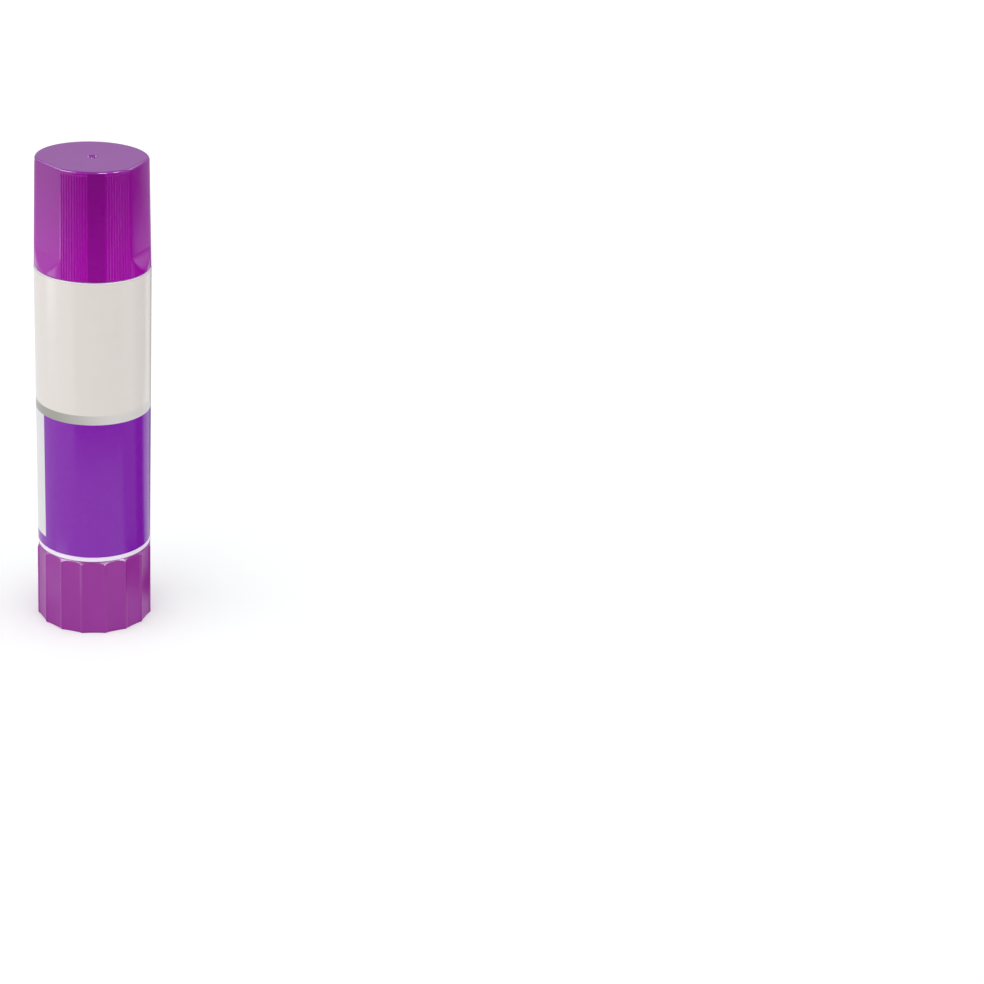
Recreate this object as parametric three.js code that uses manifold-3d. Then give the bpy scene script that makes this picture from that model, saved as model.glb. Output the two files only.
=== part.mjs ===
// A twist-up glue stick with its cap on: seven separate pieces, in millimetres.
// +Z is up, the stick stands on the knob's rim at z = 0, and its front is towards -Y.
// An azimuth is counted from the front, and it grows towards +X.
import * as THREE from 'three';
import { mergeVertices } from 'three/addons/utils/BufferGeometryUtils.js';
import Module from 'manifold-3d';

const wasm = await Module();
wasm.setup();

// Knob, the sixteen-sided twist base, with a corner at its phase in degrees
const KNOB_HEIGHT = 14.1;
const KNOB_SIDES = 16;
const KNOB_PHASE = 8.6;
const KNOB_STANDING = 0.12;
const KNOB_DRAFT = 0.12;
const KNOB_FLUTE = 0.08;
const KNOB_RIDGE_HEIGHT = 0.1;
const KNOB_RIDGE_HALF = 0.16;
const KNOB_RIDGE_FOOT = 0.42;
const KNOB_SHOULDER_HEIGHT = 0.9;
const KNOB_SHOULDER_SETBACK = 0.3;
const KNOB_EDGE = 0.25;
const KNOB_BASE_THICKNESS = 1.6;
const KNOB_FOOT_DEPTH = 0.6;
const KNOB_RIM_WIDTH = 2.32;
const HUB_RADIUS = 3.4;
const SOCKET_PLATE = 1;

// Barrel, the white tube with a neck for the cap and a spigot for the knob; its ribs' phase is in degrees
const BODY_HEIGHT = 51.8;
const RING_HEIGHT = 0.82;
const SHOULDER_EDGE = 0.12;
const SPIGOT_LENGTH = 9.6;
const SPIGOT_WALL = 1.6;
const FLOOR_THICKNESS = 1.5;
const NECK_HEIGHT = 12.5;
const NECK_WALL = 0.8;
const NECK_LIP = 0.3;
const BEAD_HEIGHT = 1.4;
const BEAD_STANDING = 0.1;
const BEAD_FROM_SHOULDER = 2.6;
const RIB_COUNT = 4;
const RIB_HEIGHT = 0.6;
const RIB_HALF_WIDTH = 0.45;
const RIB_PHASE = 45;

// Label, one film wrapped round the barrel, with its seam at an azimuth
const LABEL_THICKNESS = 0.06;
const LABEL_SEAM = 0.3;
const LABEL_SEAM_AZIMUTH = 180;
const LABEL_MARGIN = 0.1;

// Cap, with fine grip ribs on its arcs and a panel after each arc, counted from the front one. The
// panels are flats that run out to a round rim, but one is left round. Arcs are in degrees.
const CAP_WALL = 1.85;
const CAP_INSET = 0.05;
const CAP_DRAFT = 0.4;
const CAP_TOP_THICKNESS = 1.5;
const CAP_EDGE = 0.3;
const CAP_ARCS = 3;
const CAP_ARC_CENTRE = 2.4;
const CAP_ARC_HALF = 36.3;
const CAP_SMOOTH_HALF = 8.6;
const CAP_RIBS = 10;
const CAP_RIB_DEPTH = 0.13;
const CAP_GROOVE = { start: 0.1, floor: 0.35, rise: 0.65, end: 0.9 };
const CAP_ROUND_PANEL = 1;
const CAP_RIM_BAND = 0.7;
const CAP_RUNOUT = 2.7;
const CAP_CHAMBER_HEIGHT = 4.5;
const CAP_CHAMBER_SETBACK = 0.7;
const CAP_CHAMBER_STEP = 0.6;
const GATE_RADIUS = 0.95;
const GATE_DEPTH = 0.22;
const GATE_NUB_RADIUS = 0.28;

// Spindle, the screw that the knob turns
const LEAD = 4;
const TURNS = 12;
const ROD_RADIUS = 1.75;
const THREAD_RADIUS = 2.35;
const THREAD_HALF_ROOT = 1;
const THREAD_HALF_CREST = 0.7;
const THREAD_SINK = 0.25;
const JOURNAL_RADIUS = 2.3;
const FLANGE_RADIUS = 3.9;
const FLANGE_THICKNESS = 1;
const TAIL_RADIUS = 1.9;
const TAIL_SIDES = 6;
const ROD_TIP = 0.5;

// Carrier, the cup with a nut that lifts the glue
const CARRIER_SKIRT = 12;
const SKIRT_WALL = 1.1;
const CUP_WALL = 1;
const CUP_FLOOR = 1.2;
const CUP_DEPTH = 7.6;
const BOSS_RADIUS = 3.8;
const BOSS_SETBACK = 0.5;
const NUT_LENGTH = 7;

// Glue, the column of adhesive
const GLUE_RADIUS = 6.9;
const GLUE_RECESS = 1.35;
const GLUE_TOP_EDGE = 0.5;

// Clearances
const GAP = 0.15;
const FILM_GAP = 0.04;
const KNOB_RUNNING = 0.25;
const CAP_SLIDING = 0.2;
const THREAD_RADIAL = 0.3;
const THREAD_AXIAL = 0.35;
const RIB_SIDE = 0.25;
const GLUE_BORE = 0.35;
const GLUE_SLIDING = 0.2;
const FLANGE_RUNNING = 0.1;
const CAP_SEAT = 0.1;
const HEADROOM = 0.45;

// Facets round each turn and across a round panel, and the step in degrees along a smooth strip
const ROUND = 48;
const SMALL_ROUND = 16;
const THREAD_STEPS = 16;
const SMOOTH_STEP = 4.35;
const PANEL_SIDES = 7;

// How far a cutting shape runs past the face that it cuts
const OVERCUT = 1;

// Radii that follow from the sizes above, from the glue outward
const boreRadius = GLUE_RADIUS + GLUE_SLIDING;
const neckRadius = boreRadius + NECK_WALL;
const spigotRadius = boreRadius + SPIGOT_WALL;
const mouthRadius = neckRadius + CAP_SLIDING;
const chamberRadius = mouthRadius - CAP_CHAMBER_SETBACK;
const capRimRadius = mouthRadius + CAP_WALL;
const capTopRadius = capRimRadius - CAP_DRAFT;
const labelRadius = capRimRadius + CAP_INSET;
const bodyRadius = labelRadius - LABEL_THICKNESS - FILM_GAP;
const knobTopRadius = labelRadius + KNOB_STANDING;
const knobBottomRadius = knobTopRadius + KNOB_DRAFT;
const knobShoulderRadius = labelRadius - KNOB_SHOULDER_SETBACK;
const knobFootRadius = knobBottomRadius - KNOB_RIM_WIDTH;
const cupRadius = GLUE_RADIUS - CUP_WALL;
const grooveRadius = boreRadius - RIB_HEIGHT - GAP;
const nutBore = THREAD_RADIUS + THREAD_RADIAL;
const threadSlope = (THREAD_HALF_ROOT - THREAD_HALF_CREST) / (THREAD_RADIUS - ROD_RADIUS);
const threadSunkHalf = THREAD_HALF_ROOT + threadSlope * THREAD_SINK;

// Angles in degrees that follow from the sizes above
const capPeriod = 360 / CAP_ARCS;
const capPanel = capPeriod - 2 * CAP_ARC_HALF;
const capRibPitch = (CAP_ARC_HALF - CAP_SMOOTH_HALF) / CAP_RIBS;

// Heights that follow from the sizes above
const bodyBottom = KNOB_HEIGHT + GAP;
const bodyTop = bodyBottom + BODY_HEIGHT;
const neckTop = bodyTop + NECK_HEIGHT;
const floorBottom = bodyBottom - SPIGOT_LENGTH;
const floorTop = floorBottom + FLOOR_THICKNESS;
const capRim = bodyTop + CAP_SEAT;
const capSeat = neckTop + HEADROOM;
const chamberTop = capSeat + CAP_CHAMBER_HEIGHT;
const capTop = chamberTop + CAP_TOP_THICKNESS;
const hubTop = floorBottom - GAP;
const journalBottom = hubTop + FLANGE_RUNNING;
const flangeBottom = floorTop + FLANGE_RUNNING;
const flangeTop = flangeBottom + FLANGE_THICKNESS;
const carrierBottom = flangeTop + 2 * GAP;
const cupFloorBottom = carrierBottom + CARRIER_SKIRT;
const cupFloorTop = cupFloorBottom + CUP_FLOOR;
const cupRim = cupFloorTop + CUP_DEPTH;
const nutBottom = carrierBottom + BOSS_SETBACK;
const nutTop = nutBottom + NUT_LENGTH;
const liftTravel = LEAD * TURNS;
const rodTop = nutTop + liftTravel + ROD_TIP;
const threadEnd = rodTop - threadSunkHalf;
const glueBottom = cupFloorTop + GAP;
const glueTop = neckTop - GLUE_RECESS;

// The cap's radius at a height, below its top edge
const capRadiusAt = (z) =>
  THREE.MathUtils.mapLinear(z, capRim, capTop - CAP_EDGE, capRimRadius, capTopRadius);

// A point at a radius and an azimuth in degrees
const polar = (radius, azimuth) => {
  const a = THREE.MathUtils.degToRad(azimuth);
  return [radius * Math.sin(a), -radius * Math.cos(a)];
};

const mesh = (positions, triangles) => {
  const geometry = new THREE.BufferGeometry();
  geometry.setAttribute('position', new THREE.Float32BufferAttribute(positions, 3));
  geometry.setIndex(triangles);
  return geometry;
};

// A closed mesh as a solid for joining and cutting, with its faces turned outward
const solid = (geometry) => {
  const bare = geometry.clone();
  bare.deleteAttribute('normal');
  bare.deleteAttribute('uv');
  const merged = mergeVertices(bare, 1e-5);
  const vertices = merged.getAttribute('position').array;
  const index = merged.getIndex().array;
  const point = (i) => new THREE.Vector3().fromArray(vertices, 3 * i);
  const kept = [];
  let volume = 0;
  for (let i = 0; i < index.length; i += 3) {
    const [a, b, c] = [index[i], index[i + 1], index[i + 2]];
    if (a === b || b === c || c === a) continue;
    volume += point(a).dot(point(b).cross(point(c)));
    kept.push([a, b, c]);
  }
  const triangles = kept.flatMap(([a, b, c]) => (volume < 0 ? [a, c, b] : [a, b, c]));
  return new wasm.Manifold(
    new wasm.Mesh({
      numProp: 3,
      vertProperties: new Float32Array(vertices),
      triVerts: new Uint32Array(triangles),
    }),
  );
};

// A profile of [radius, height] points turned about Z; it closes on itself or lies on the axis
const turned = (profile, facets = ROUND) => {
  const closesOnAxis = profile[0][0] === 0 && profile[profile.length - 1][0] === 0;
  const loop = closesOnAxis ? profile : [...profile, profile[0]];
  const points = loop.map(([r, z]) => new THREE.Vector2(r, z));
  const lathe = new THREE.LatheGeometry(points, facets);
  lathe.rotateX(Math.PI / 2);
  return solid(lathe);
};

// A plug through a stack of outlines, each a list of [x, y] points seen from the axis, at its height
const lofted = (levels) => {
  const count = levels[0].outline.length;
  const positions = levels.flatMap(({ outline, z }) => outline.flatMap(([x, y]) => [x, y, z]));
  const triangles = [];
  for (let k = 0; k + 1 < levels.length; k += 1) {
    for (let i = 0; i < count; i += 1) {
      const a = k * count + i;
      const b = k * count + ((i + 1) % count);
      triangles.push(a, b, b + count, a, b + count, a + count);
    }
  }
  const low = levels.length * count;
  const high = low + 1;
  positions.push(0, 0, levels[0].z, 0, 0, levels[levels.length - 1].z);
  const last = (levels.length - 1) * count;
  for (let i = 0; i < count; i += 1) {
    const j = (i + 1) % count;
    triangles.push(low, j, i, high, last + i, last + j);
  }
  return solid(mesh(positions, triangles));
};

const prism = (outline, bottom, top) => lofted([{ outline, z: bottom }, { outline, z: top }]);

// A bar that stands on a wall at an azimuth, between two radii
const bar = (azimuth, inner, outer, halfWidth, bottom, top) => {
  const box = new THREE.BoxGeometry(2 * halfWidth, outer - inner, top - bottom);
  box.translate(0, -(inner + outer) / 2, (bottom + top) / 2);
  box.rotateZ(THREE.MathUtils.degToRad(azimuth));
  return solid(box);
};

// A left-hand thread: its section of [radius, height] points falls one lead in each turn
const helix = (section, start, end) => {
  const steps = Math.ceil(((end - start) / LEAD) * THREAD_STEPS);
  const sides = section.length;
  const positions = [];
  const triangles = [];
  for (let i = 0; i <= steps; i += 1) {
    const z = end - (i * LEAD) / THREAD_STEPS;
    section.forEach(([r, dz]) => positions.push(...polar(r, (360 * i) / THREAD_STEPS), z + dz));
  }
  for (let i = 0; i < steps; i += 1) {
    for (let k = 0; k < sides; k += 1) {
      const a = i * sides + k;
      const b = i * sides + ((k + 1) % sides);
      triangles.push(a, b, b + sides, a, b + sides, a + sides);
    }
  }
  const last = steps * sides;
  for (let k = 1; k + 1 < sides; k += 1) {
    triangles.push(0, k + 1, k, last, last + k, last + k + 1);
  }
  return solid(mesh(positions, triangles));
};

// The same tool at each guide rib's azimuth, joined into one
const atEachRib = (make) => {
  const azimuths = Array.from({ length: RIB_COUNT }, (_, i) => RIB_PHASE + (360 * i) / RIB_COUNT);
  return azimuths.map(make).reduce((all, one) => all.add(one));
};

const grooves = (bottom, top) =>
  atEachRib((azimuth) =>
    bar(azimuth, grooveRadius, boreRadius + OVERCUT, RIB_HALF_WIDTH + RIB_SIDE, bottom, top),
  );

// Knob outline: sides hollowed a little, with a thin ridge where two sides meet
const knobOutline = (radius) => {
  const step = 360 / KNOB_SIDES;
  const flat = radius * Math.cos(THREE.MathUtils.degToRad(step / 2));
  const half = radius * Math.sin(THREE.MathUtils.degToRad(step / 2));
  const points = [];
  for (let i = 0; i < KNOB_SIDES; i += 1) {
    const azimuth = KNOB_PHASE + i * step;
    const onSide = (along) => {
      const side = azimuth + (Math.sign(along) * step) / 2;
      const across = Math.sign(along) * (Math.abs(along) - half);
      return [
        Math.hypot(flat, across),
        side + THREE.MathUtils.radToDeg(Math.atan2(across, flat)),
      ];
    };
    const ridge = THREE.MathUtils.radToDeg(KNOB_RIDGE_HALF / radius);
    points.push(polar(...onSide(-KNOB_RIDGE_FOOT)));
    points.push(polar(radius + KNOB_RIDGE_HEIGHT, azimuth - ridge));
    points.push(polar(radius + KNOB_RIDGE_HEIGHT, azimuth + ridge));
    points.push(polar(...onSide(KNOB_RIDGE_FOOT)));
    points.push(polar(flat - KNOB_FLUTE, azimuth + step / 2));
  }
  return points;
};

const makeKnob = () => {
  const bottomReach = knobBottomRadius + KNOB_RIDGE_HEIGHT;
  const topReach = knobTopRadius + KNOB_RIDGE_HEIGHT;
  const block = lofted([
    { outline: knobOutline(knobBottomRadius), z: 0 },
    { outline: knobOutline(knobTopRadius), z: KNOB_HEIGHT },
  ]);
  const shoulder = KNOB_HEIGHT - KNOB_SHOULDER_HEIGHT;
  const blank = turned([
    [0, 0],
    [bottomReach - KNOB_EDGE, 0],
    [bottomReach + KNOB_EDGE, 2 * KNOB_EDGE],
    [topReach + KNOB_EDGE, shoulder],
    [(topReach + knobShoulderRadius) / 2, KNOB_HEIGHT - KNOB_SHOULDER_HEIGHT / 3],
    [knobShoulderRadius, KNOB_HEIGHT],
    [0, KNOB_HEIGHT],
  ]);
  const well = spigotRadius + KNOB_RUNNING;
  const baseTop = KNOB_FOOT_DEPTH + KNOB_BASE_THICKNESS;
  const cavity = turned([
    [0, hubTop],
    [HUB_RADIUS, hubTop],
    [HUB_RADIUS, baseTop],
    [well, baseTop],
    [well, KNOB_HEIGHT + OVERCUT],
    [0, KNOB_HEIGHT + OVERCUT],
  ]);
  const foot = turned([
    [0, -OVERCUT],
    [knobFootRadius, -OVERCUT],
    [knobFootRadius, 0],
    [knobFootRadius - KNOB_FOOT_DEPTH, KNOB_FOOT_DEPTH],
    [0, KNOB_FOOT_DEPTH],
  ]);
  const socket = prism(tailOutline(GAP), KNOB_FOOT_DEPTH + SOCKET_PLATE, hubTop + OVERCUT);
  return block.intersect(blank).subtract(cavity).subtract(foot).subtract(socket);
};

// Hexagon of the spindle's tail, grown by a clearance for its socket
const tailOutline = (clearance) =>
  Array.from({ length: TAIL_SIDES }, (_, i) =>
    polar(TAIL_RADIUS + clearance, (360 * i) / TAIL_SIDES),
  );

const makeSpindle = () => {
  const core = turned(
    [
      [0, journalBottom],
      [JOURNAL_RADIUS, journalBottom],
      [JOURNAL_RADIUS, flangeBottom],
      [FLANGE_RADIUS, flangeBottom],
      [FLANGE_RADIUS, flangeTop],
      [ROD_RADIUS, flangeTop],
      [ROD_RADIUS, rodTop],
      [ROD_RADIUS - ROD_TIP, rodTop + ROD_TIP],
      [0, rodTop + ROD_TIP],
    ],
    SMALL_ROUND,
  );
  const tail = prism(
    tailOutline(0),
    KNOB_FOOT_DEPTH + SOCKET_PLATE + GAP,
    (journalBottom + flangeBottom) / 2,
  );
  const thread = helix(
    [
      [ROD_RADIUS - THREAD_SINK, -threadSunkHalf],
      [THREAD_RADIUS, -THREAD_HALF_CREST],
      [THREAD_RADIUS, THREAD_HALF_CREST],
      [ROD_RADIUS - THREAD_SINK, threadSunkHalf],
    ],
    flangeTop + threadSunkHalf + GAP,
    threadEnd,
  );
  return core.add(tail).add(thread);
};

const makeCarrier = () => {
  const body = turned([
    [GLUE_RADIUS, carrierBottom],
    [GLUE_RADIUS, cupRim],
    [cupRadius, cupRim],
    [cupRadius, cupFloorTop],
    [nutBore, cupFloorTop],
    [nutBore, nutBottom],
    [BOSS_RADIUS, nutBottom],
    [BOSS_RADIUS, cupFloorBottom],
    [GLUE_RADIUS - SKIRT_WALL, cupFloorBottom],
    [GLUE_RADIUS - SKIRT_WALL, carrierBottom],
  ]);
  // The nut's ridge fills the groove between two turns of the spindle's thread, less the clearances.
  const crest = ROD_RADIUS + THREAD_RADIAL;
  const root = nutBore + THREAD_SINK;
  const threadHalf = THREAD_HALF_ROOT - threadSlope * (crest - ROD_RADIUS);
  const crestHalf = LEAD / 2 - THREAD_AXIAL - threadHalf;
  const rootHalf = crestHalf + threadSlope * (root - crest);
  const section = [
    [crest, -crestHalf],
    [root, -rootHalf],
    [root, rootHalf],
    [crest, crestHalf],
  ];
  // Its sweep starts on the spindle's own thread, half a lead lower, and is cut to the nut's length.
  const turnsDown = Math.floor((threadEnd - nutTop) / LEAD) - 1;
  const ridge = helix(section, nutBottom - LEAD, threadEnd - LEAD / 2 - turnsDown * LEAD);
  const window = turned([[0, nutBottom], [BOSS_RADIUS, nutBottom], [BOSS_RADIUS, nutTop], [0, nutTop]]);
  return body.add(ridge.intersect(window)).subtract(grooves(carrierBottom - OVERCUT, cupRim + OVERCUT));
};

const makeGlue = () => {
  const bore = THREAD_RADIUS + GLUE_BORE;
  const boreTop = rodTop + 2 * ROD_TIP + GAP;
  const column = turned([
    [0, boreTop],
    [bore, boreTop],
    [bore, glueBottom],
    [cupRadius - GAP, glueBottom],
    [cupRadius - GAP, cupRim + GAP],
    [GLUE_RADIUS, cupRim + GAP],
    [GLUE_RADIUS, glueTop - GLUE_TOP_EDGE],
    [GLUE_RADIUS - GLUE_TOP_EDGE, glueTop],
    [0, glueTop],
  ]);
  return column.subtract(grooves(cupRim, glueTop + OVERCUT));
};

const makeBarrel = () => {
  const bead = bodyTop + BEAD_FROM_SHOULDER;
  const journalHole = JOURNAL_RADIUS + GAP;
  const shell = turned([
    [journalHole, floorBottom],
    [spigotRadius, floorBottom],
    [spigotRadius, bodyBottom],
    [labelRadius, bodyBottom],
    [labelRadius, bodyBottom + RING_HEIGHT],
    [bodyRadius, bodyBottom + RING_HEIGHT],
    [bodyRadius, bodyTop - SHOULDER_EDGE],
    [bodyRadius - SHOULDER_EDGE, bodyTop],
    [neckRadius, bodyTop],
    [neckRadius, bead],
    [neckRadius + BEAD_STANDING, bead + BEAD_HEIGHT / 3],
    [neckRadius + BEAD_STANDING, bead + (2 * BEAD_HEIGHT) / 3],
    [neckRadius, bead + BEAD_HEIGHT],
    [neckRadius, neckTop - NECK_LIP],
    [neckRadius - NECK_LIP, neckTop],
    [boreRadius, neckTop],
    [boreRadius, floorTop],
    [journalHole, floorTop],
  ]);
  const sink = (neckRadius - boreRadius) / 2;
  const ribs = atEachRib((azimuth) =>
    bar(
      azimuth,
      boreRadius - RIB_HEIGHT,
      boreRadius + sink,
      RIB_HALF_WIDTH,
      floorTop - FLOOR_THICKNESS / 2,
      neckTop - NECK_LIP,
    ),
  );
  return shell.add(ribs);
};

const makeLabel = () => {
  const inner = bodyRadius + FILM_GAP;
  const seam = THREE.MathUtils.radToDeg(LABEL_SEAM / labelRadius) / 2;
  const from = THREE.MathUtils.degToRad(LABEL_SEAM_AZIMUTH - 90 + seam);
  const to = THREE.MathUtils.degToRad(LABEL_SEAM_AZIMUTH - 90 + 360 - seam);
  const shape = new THREE.Shape();
  shape.absarc(0, 0, labelRadius, from, to, false);
  shape.absarc(0, 0, inner, to, from, true);
  const bottom = bodyBottom + RING_HEIGHT + LABEL_MARGIN / 2;
  const top = bodyTop - SHOULDER_EDGE - LABEL_MARGIN;
  const film = new THREE.ExtrudeGeometry(shape, {
    depth: top - bottom,
    bevelEnabled: false,
    curveSegments: ROUND,
  });
  film.translate(0, 0, bottom);
  return solid(film);
};

// Cap outline: on each arc a ribbed field, a smooth strip and a ribbed field, then a round panel
const capOutline = (radius) => {
  const points = [];
  const low = radius - CAP_RIB_DEPTH;
  const grooved = (start) => {
    for (let i = 0; i < CAP_RIBS; i += 1) {
      const a = start + i * capRibPitch;
      points.push(polar(radius, a + CAP_GROOVE.start * capRibPitch));
      points.push(polar(low, a + CAP_GROOVE.floor * capRibPitch));
      points.push(polar(low, a + CAP_GROOVE.rise * capRibPitch));
      points.push(polar(radius, a + CAP_GROOVE.end * capRibPitch));
    }
  };
  for (let k = 0; k < CAP_ARCS; k += 1) {
    const centre = CAP_ARC_CENTRE + k * capPeriod;
    grooved(centre - CAP_ARC_HALF);
    for (let a = -CAP_SMOOTH_HALF + SMOOTH_STEP; a < CAP_SMOOTH_HALF - 1; a += SMOOTH_STEP) {
      points.push(polar(radius, centre + a));
    }
    grooved(centre + CAP_SMOOTH_HALF);
    for (let i = 1; i < PANEL_SIDES; i += 1) {
      points.push(polar(radius, centre + CAP_ARC_HALF + (i * capPanel) / PANEL_SIDES));
    }
  }
  return points;
};

// What a flat takes off: a bar across the panel, whose foot slopes out to the round wall above the rim
const flatCutter = (azimuth) => {
  const edgeMiddle = CAP_EDGE * (1 - Math.SQRT1_2);
  const depth = Math.cos(THREE.MathUtils.degToRad(capPanel / 2 - CAP_GROOVE.start * capRibPitch));
  const runoutTop = capRim + CAP_RIM_BAND + CAP_RUNOUT;
  const beyond = capRimRadius + OVERCUT;
  const profile = [
    [beyond, capRim + CAP_RIM_BAND],
    [capRadiusAt(capRim + CAP_RIM_BAND), capRim + CAP_RIM_BAND],
    [depth * capRadiusAt(runoutTop), runoutTop],
    [depth * capTopRadius, capTop - CAP_EDGE],
    [depth * (capTopRadius - edgeMiddle), capTop - edgeMiddle],
    [depth * (capTopRadius - CAP_EDGE), capTop],
    [depth * (capTopRadius - CAP_EDGE), capTop + OVERCUT],
    [beyond, capTop + OVERCUT],
  ];
  const side = new THREE.Shape(profile.map(([r, z]) => new THREE.Vector2(r, z)));
  const bar = new THREE.ExtrudeGeometry(side, { depth: 2 * capRimRadius, bevelEnabled: false });
  bar.translate(0, 0, -capRimRadius);
  bar.rotateX(Math.PI / 2);
  bar.rotateZ(THREE.MathUtils.degToRad(azimuth - 90));
  return solid(bar);
};

const makeFlats = () =>
  Array.from({ length: CAP_ARCS }, (_, k) => k)
    .filter((k) => k !== CAP_ROUND_PANEL)
    .map((k) => flatCutter(CAP_ARC_CENTRE + (k + 0.5) * capPeriod))
    .reduce((all, one) => all.add(one));

const makeCap = () => {
  const edgeMiddle = CAP_EDGE * (1 - Math.SQRT1_2);
  const shell = lofted([
    { outline: capOutline(capRimRadius), z: capRim },
    { outline: capOutline(capTopRadius), z: capTop - CAP_EDGE },
    { outline: capOutline(capTopRadius - edgeMiddle), z: capTop - edgeMiddle },
    { outline: capOutline(capTopRadius - CAP_EDGE), z: capTop },
  ]);
  const chamber = turned([
    [0, capRim - OVERCUT],
    [mouthRadius, capRim - OVERCUT],
    [mouthRadius, capSeat],
    [chamberRadius, capSeat + CAP_CHAMBER_STEP],
    [chamberRadius, chamberTop],
    [0, chamberTop],
  ]);
  const gate = turned(
    [
      [0, capTop - GATE_DEPTH / 3],
      [GATE_NUB_RADIUS, capTop - GATE_DEPTH / 2],
      [GATE_NUB_RADIUS + GATE_DEPTH / 2, capTop - GATE_DEPTH],
      [GATE_RADIUS, capTop + GATE_DEPTH / 2],
      [0, capTop + GATE_DEPTH / 2],
    ],
    SMALL_ROUND,
  );
  return shell.subtract(makeFlats()).subtract(chamber).subtract(gate);
};

// Finishes, one for each piece
const FINISHES = {
  cap: { color: 0x990397, roughness: 0.28 },
  label: { color: 0xe1dbd1, roughness: 0.22 },
  barrel: { color: 0xefe5f1, roughness: 0.35 },
  glue: { color: 0x7d3ea8, roughness: 0.45 },
  carrier: { color: 0xeceaee, roughness: 0.4 },
  spindle: { color: 0xeceaee, roughness: 0.4 },
  knob: { color: 0x931f91, roughness: 0.32 },
};

const makers = {
  cap: makeCap,
  label: makeLabel,
  barrel: makeBarrel,
  glue: makeGlue,
  carrier: makeCarrier,
  spindle: makeSpindle,
  knob: makeKnob,
};

const glueStick = new THREE.Group();
Object.entries(makers).forEach(([name, make]) => {
  const { vertProperties, triVerts } = make().getMesh();
  const geometry = mesh(Array.from(vertProperties), Array.from(triVerts));
  geometry.computeVertexNormals();
  const piece = new THREE.Mesh(
    geometry,
    new THREE.MeshStandardMaterial({ ...FINISHES[name], metalness: 0 }),
  );
  piece.name = name;
  glueStick.add(piece);
});

export default glueStick;
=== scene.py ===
"""The looks of a twist-up glue stick: fine skins over its solids, their finishes, and the studio.

Pieces are worked out in millimetres and made in metres. An azimuth is in degrees from the
front of the stick, -Y, and grows towards +X.
"""

import math

import bmesh
import bpy
from mathutils import Matrix, Vector


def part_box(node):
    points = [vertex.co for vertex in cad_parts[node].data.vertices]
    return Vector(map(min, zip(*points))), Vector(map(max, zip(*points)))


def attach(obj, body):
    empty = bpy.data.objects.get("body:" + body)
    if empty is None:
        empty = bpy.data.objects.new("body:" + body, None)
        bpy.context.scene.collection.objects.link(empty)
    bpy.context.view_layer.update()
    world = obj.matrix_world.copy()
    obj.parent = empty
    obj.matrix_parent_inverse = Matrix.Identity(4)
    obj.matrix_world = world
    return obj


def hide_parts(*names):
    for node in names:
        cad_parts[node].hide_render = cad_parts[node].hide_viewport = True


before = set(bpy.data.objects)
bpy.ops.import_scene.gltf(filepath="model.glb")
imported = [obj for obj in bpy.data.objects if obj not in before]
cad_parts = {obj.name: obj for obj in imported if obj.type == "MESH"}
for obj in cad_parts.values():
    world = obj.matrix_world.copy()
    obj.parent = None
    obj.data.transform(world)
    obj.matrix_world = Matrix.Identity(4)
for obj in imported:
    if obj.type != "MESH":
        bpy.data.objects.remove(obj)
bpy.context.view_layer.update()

MM = 0.001
BLACK = (0, 0, 0, 1)
WHITE = (1, 1, 1, 1)

# Heights of the solids, taken from the frame
low = {node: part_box(node)[0].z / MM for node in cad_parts}
high = {node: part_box(node)[1].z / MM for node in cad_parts}

# Radii and walls, from the glue outward
GLUE_RADIUS = 6.9
BORE_RADIUS = GLUE_RADIUS + 0.2
NECK_RADIUS = BORE_RADIUS + 0.8
SPIGOT_RADIUS = BORE_RADIUS + 1.6
MOUTH_RADIUS = NECK_RADIUS + 0.2
CAP_RADIUS = MOUTH_RADIUS + 1.85
LABEL_RADIUS = CAP_RADIUS + 0.05
GAP = 0.15

# Cap
CAP_DRAFT = 0.4
CAP_ARCS = 3
CAP_ARC_CENTRE = 2.4
CAP_ARC_HALF = 36.3
CAP_SMOOTH_HALF = 8.6
CAP_RIBS = 10
CAP_RIB_DEPTH = 0.13
CAP_GROOVE_MARGIN = 0.1
CAP_GROOVE_SIDE = 0.25
CAP_RIBS_END = 0.9
CAP_RIBS_FROM_EDGE = 0.14
CAP_RIM_BAND = 0.7
CAP_RUNOUT = 2.7
CAP_RUNOUT_EASE = 0.05
CAP_RUNOUT_MARGIN = 0.4
# Painted light and shade: flat, smooth-strip and end-face colours set to how each is lit, darkening to
# the closed end, soft edges
CAP_FLAT_PAINTED_LIGHT_COLOUR = (0.352, 0.001, 0.352, 1)
CAP_STRIP_PAINTED_SHADE_COLOUR = (0.272, 0.0003, 0.262, 1)
CAP_END_PAINTED_COOL_LIGHT_COLOUR = (0.33, 0.001, 0.405, 1)
CAP_END_SHADE = 0.27
CAP_TINT_SOFT = 0.3
CAP_FLAT_CROWN = 0.05
CAP_CORNER = 0.04
CAP_DISH = 0.06
CAP_EDGE = 0.34
CAP_RIM_EDGE = 0.14
CAP_WALL_TOP = 1.5
CAP_NECK_CLEARANCE = 0.45
CAP_CHAMBER_SETBACK = 0.7
CAP_CHAMBER_STEP = 0.6
CAP_CHAMBER_EDGE = 0.4
CAP_BARREL_GAP = 0.1
GATE_RADIUS = 0.95
GATE_DEPTH = 0.26
GATE_NUB = 0.28
GATE_EDGE = 0.1
GATE_NUB_EDGE = 0.08
GATE_FOOT_EDGE = 0.05

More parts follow.
